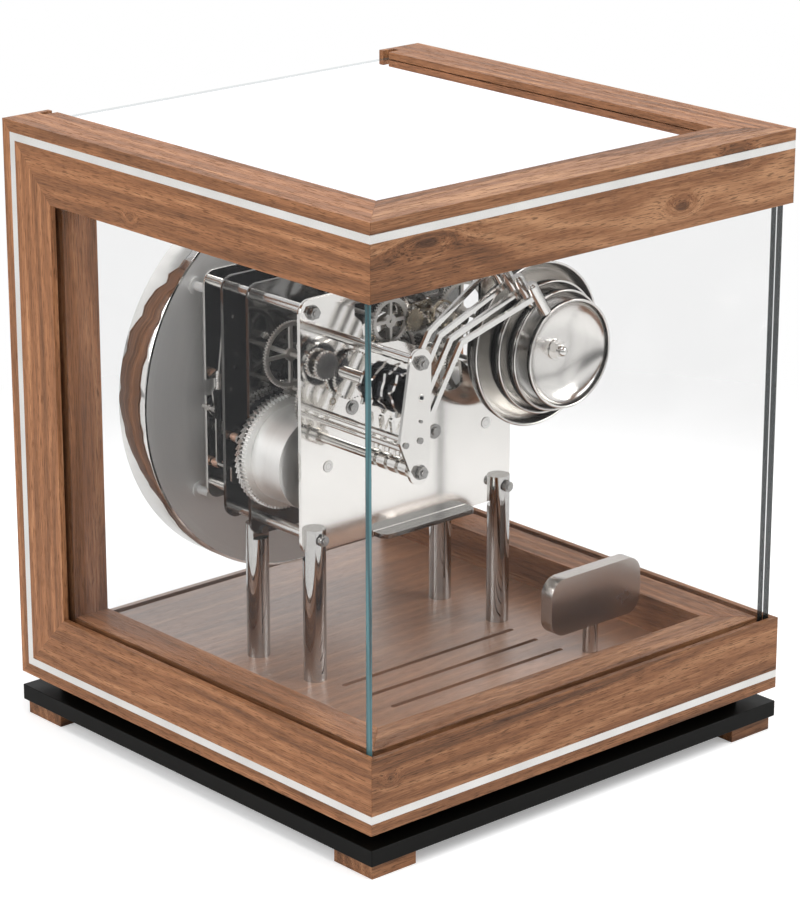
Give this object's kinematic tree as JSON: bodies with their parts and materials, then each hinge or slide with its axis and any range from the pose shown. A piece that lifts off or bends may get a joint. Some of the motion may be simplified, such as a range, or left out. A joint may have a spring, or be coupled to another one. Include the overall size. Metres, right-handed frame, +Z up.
{
  "type": "table clock",
  "caption": "Glazed wooden table clock on a black plinth, with an open skeleton movement, winding barrels, wheel trains, bells, hammers and a drum dial.",
  "frame": {"origin": "centre of the clock's base, on the surface it stands on", "axes": "+Z up; the dial faces -Y; +X is to the right of someone who faces the dial"},
  "size_m": [0.28, 0.28, 0.3215],
  "materials": {
    "walnut": "oiled walnut with an open grain",
    "black_lacquer": "satin black lacquer",
    "pale_inlay": "satin, flush with the wood",
    "clear_glass": "clear, with polished edges of a blue-green tint",
    "polished_steel": "mirror polished",
    "polished_nickel": "mirror polished, a little warm",
    "satin_steel": "satin",
    "brushed_barrel": "turned and brushed round the axis",
    "wheel_steel": "fine ground",
    "dark_steel": "blackened, with bright edges",
    "silvered_dial": "silvered matte",
    "black_hands": "gloss black",
    "brass": "polished"
  },
  "bodies": {
    "case": {"feet": "walnut", "plinth_board": "black_lacquer", "floor_board": "walnut", "front_posts": "walnut", "side_bottom_rails": "walnut", "side_top_rails": "walnut", "rear_top_rail": "walnut", "rear_bottom_rail": "walnut", "inlay_lines": "pale_inlay", "side_glass": "clear_glass", "rear_glass": "clear_glass", "top_glass": "clear_glass", "support_posts": "polished_steel", "back_plate": "polished_nickel", "centre_plate": "polished_nickel", "front_plate": "polished_nickel", "dial_plate": "polished_nickel", "plate_pillars": "polished_steel", "fixing_screws": "polished_steel", "dial_disc": "satin_steel", "dial_rim": "polished_steel", "chapter_ring": "silvered_dial", "escapement_platform": "polished_nickel", "lifting_levers": "wheel_steel", "chime_bracket": "polished_nickel", "chime_rods": "polished_steel", "bells": "polished_nickel", "bell_stand": "polished_steel"},
    "front_pane": {"front_glass": "clear_glass"},
    "key": {"winding_key": "satin_steel"},
    "hour": {"hour_hand": "black_hands", "hour_wheel": "wheel_steel"},
    "centre": {"minute_hand": "black_hands", "centre_arbor": "wheel_steel"},
    "minute_work": {"minute_wheel": "wheel_steel"},
    "time_drum": {"time_barrel": "brushed_barrel"},
    "time_winding": {"time_arbor": "polished_steel"},
    "time_third": {"third_time_wheel": "wheel_steel"},
    "time_fourth": {"fourth_time_wheel": "wheel_steel"},
    "escape": {"escape_wheel": "brass"},
    "pallets": {"pallet_lever": "polished_steel"},
    "balance": {"balance_wheel": "brass"},
    "chime_going": {"chime_barrel": "brushed_barrel"},
    "chime_winding": {"chime_arbor": "polished_steel"},
    "chime_second": {"chime_second_wheel": "wheel_steel"},
    "chime_third": {"chime_third_wheel": "wheel_steel"},
    "chime_fourth": {"chime_fourth_wheel": "wheel_steel"},
    "chime_fan": {"chime_fly": "wheel_steel"},
    "chime_cams": {"chime_drum": "dark_steel"},
    "first_hammer": {"hammer_1": "polished_steel"},
    "second_hammer": {"hammer_2": "polished_steel"},
    "third_hammer": {"hammer_3": "polished_steel"},
    "fourth_hammer": {"hammer_4": "polished_steel"},
    "strike_going": {"strike_barrel": "brushed_barrel"},
    "strike_winding": {"strike_arbor": "polished_steel"},
    "strike_second": {"strike_second_wheel": "wheel_steel"},
    "strike_third": {"strike_third_wheel": "wheel_steel"},
    "strike_fan": {"strike_fly": "wheel_steel"}
  },
  "joints": [
    {"name": "front_pane_lift", "type": "slide", "parent": "case", "child": "front_pane", "axis": [0, 0, 1], "range_m": [0, 0.24]},
    {"name": "key_lift", "type": "slide", "parent": "case", "child": "key", "axis": [0, 0, 1], "range_m": [0, 0.05]},
    {"name": "centre_turn", "type": "hinge", "parent": "case", "child": "centre", "pos_m": [0, 0, 0.1725], "axis": [0, 1, 0], "continuous": true},
    {"name": "hour_turn", "type": "hinge", "parent": "case", "child": "hour", "pos_m": [0, 0, 0.1725], "axis": [0, 1, 0], "continuous": true},
    {"name": "minute_work_turn", "type": "hinge", "parent": "case", "child": "minute_work", "pos_m": [-0.0118, 0, 0.16424], "axis": [0, 1, 0], "continuous": true},
    {"name": "time_barrel_turn", "type": "hinge", "parent": "case", "child": "time_drum", "pos_m": [0, 0, 0.1417], "axis": [0, 1, 0], "continuous": true},
    {"name": "time_third_turn", "type": "hinge", "parent": "case", "child": "time_third", "pos_m": [0.00172, 0, 0.20065], "axis": [0, 1, 0], "continuous": true},
    {"name": "time_fourth_turn", "type": "hinge", "parent": "case", "child": "time_fourth", "pos_m": [0.00698, 0, 0.22098], "axis": [0, 1, 0], "continuous": true},
    {"name": "escape_turn", "type": "hinge", "parent": "case", "child": "escape", "pos_m": [-0.00791, 0, 0.21912], "axis": [0, 1, 0], "continuous": true},
    {"name": "balance_swing", "type": "hinge", "parent": "case", "child": "balance", "pos_m": [-0.02368, 0, 0.22003], "axis": [0, 1, 0], "range_deg": [-130, 130], "stiffness_Nm_per_rad": 0.00002},
    {"name": "pallet_rock", "type": "hinge", "parent": "case", "child": "pallets", "pos_m": [-0.01579, 0, 0.21958], "axis": [0, 1, 0], "range_deg": [-6.5, 6.5]},
    {"name": "time_winding_turn", "type": "hinge", "parent": "case", "child": "time_winding", "pos_m": [0, 0, 0.1417], "axis": [0, 1, 0], "continuous": true},
    {"name": "chime_cam_turn", "type": "hinge", "parent": "case", "child": "chime_cams", "pos_m": [0.04046, 0, 0.2015], "axis": [0, 1, 0], "continuous": true},
    {"name": "chime_barrel_turn", "type": "hinge", "parent": "case", "child": "chime_going", "pos_m": [0.054, 0, 0.1555], "axis": [0, 1, 0], "continuous": true},
    {"name": "chime_second_turn", "type": "hinge", "parent": "case", "child": "chime_second", "pos_m": [0.0506, 0, 0.18893], "axis": [0, 1, 0], "continuous": true},
    {"name": "chime_third_turn", "type": "hinge", "parent": "case", "child": "chime_third", "pos_m": [0.05788, 0, 0.20969], "axis": [0, 1, 0], "continuous": true},
    {"name": "chime_fourth_turn", "type": "hinge", "parent": "case", "child": "chime_fourth", "pos_m": [0.03867, 0, 0.20631], "axis": [0, 1, 0], "continuous": true},
    {"name": "chime_fan_turn", "type": "hinge", "parent": "case", "child": "chime_fan", "pos_m": [0.02434, 0, 0.21634], "axis": [0, 1, 0], "continuous": true},
    {"name": "chime_winding_turn", "type": "hinge", "parent": "case", "child": "chime_winding", "pos_m": [0.054, 0, 0.1555], "axis": [0, 1, 0], "continuous": true},
    {"name": "strike_barrel_turn", "type": "hinge", "parent": "case", "child": "strike_going", "pos_m": [-0.054, 0, 0.1555], "axis": [0, 1, 0], "continuous": true},
    {"name": "strike_second_turn", "type": "hinge", "parent": "case", "child": "strike_second", "pos_m": [-0.0506, 0, 0.18893], "axis": [0, 1, 0], "continuous": true},
    {"name": "strike_third_turn", "type": "hinge", "parent": "case", "child": "strike_third", "pos_m": [-0.05788, 0, 0.20969], "axis": [0, 1, 0], "continuous": true},
    {"name": "strike_fan_turn", "type": "hinge", "parent": "case", "child": "strike_fan", "pos_m": [-0.03867, 0, 0.20631], "axis": [0, 1, 0], "continuous": true},
    {"name": "strike_winding_turn", "type": "hinge", "parent": "case", "child": "strike_winding", "pos_m": [-0.054, 0, 0.1555], "axis": [0, 1, 0], "continuous": true},
    {"name": "first_hammer_swing", "type": "hinge", "parent": "case", "child": "first_hammer", "pos_m": [0.04146, 0.055, 0.1635], "axis": [0, -1, 0], "range_deg": [-5, 0.4], "stiffness_Nm_per_rad": 0.4, "springref_deg": -0.92},
    {"name": "second_hammer_swing", "type": "hinge", "parent": "case", "child": "second_hammer", "pos_m": [0.04146, 0.047, 0.1635], "axis": [0, -1, 0], "range_deg": [-5, 0.4], "stiffness_Nm_per_rad": 0.4, "springref_deg": -0.92},
    {"name": "third_hammer_swing", "type": "hinge", "parent": "case", "child": "third_hammer", "pos_m": [0.04146, 0.039, 0.1635], "axis": [0, -1, 0], "range_deg": [-5, 0.4], "stiffness_Nm_per_rad": 0.4, "springref_deg": -0.92},
    {"name": "fourth_hammer_swing", "type": "hinge", "parent": "case", "child": "fourth_hammer", "pos_m": [0.04146, 0.031, 0.1635], "axis": [0, -1, 0], "range_deg": [-5, 0.4], "stiffness_Nm_per_rad": 0.4, "springref_deg": -0.92}
  ],
  "couplings": [
    {"joint": "hour_turn", "follows": "centre_turn", "ratio": 0.083333},
    {"joint": "minute_work_turn", "follows": "centre_turn", "ratio": -0.33333},
    {"joint": "time_barrel_turn", "follows": "centre_turn", "ratio": -0.15789},
    {"joint": "time_third_turn", "follows": "centre_turn", "ratio": -8.4},
    {"joint": "time_fourth_turn", "follows": "centre_turn", "ratio": 50.4},
    {"joint": "escape_turn", "follows": "centre_turn", "ratio": -201.6},
    {"joint": "pallet_rock", "follows": "balance_swing", "ratio": 0.05},
    {"joint": "chime_third_turn", "follows": "chime_cam_turn", "ratio": -1.6923},
    {"joint": "chime_second_turn", "follows": "chime_cam_turn", "ratio": 0.26721},
    {"joint": "chime_barrel_turn", "follows": "chime_cam_turn", "ratio": -0.038172},
    {"joint": "chime_fourth_turn", "follows": "chime_cam_turn", "ratio": 11.508},
    {"joint": "chime_fan_turn", "follows": "chime_cam_turn", "ratio": -69.046},
    {"joint": "strike_second_turn", "follows": "strike_third_turn", "ratio": -0.15789},
    {"joint": "strike_barrel_turn", "follows": "strike_third_turn", "ratio": 0.022556},
    {"joint": "strike_fan_turn", "follows": "strike_third_turn", "ratio": -6.8}
  ]
}
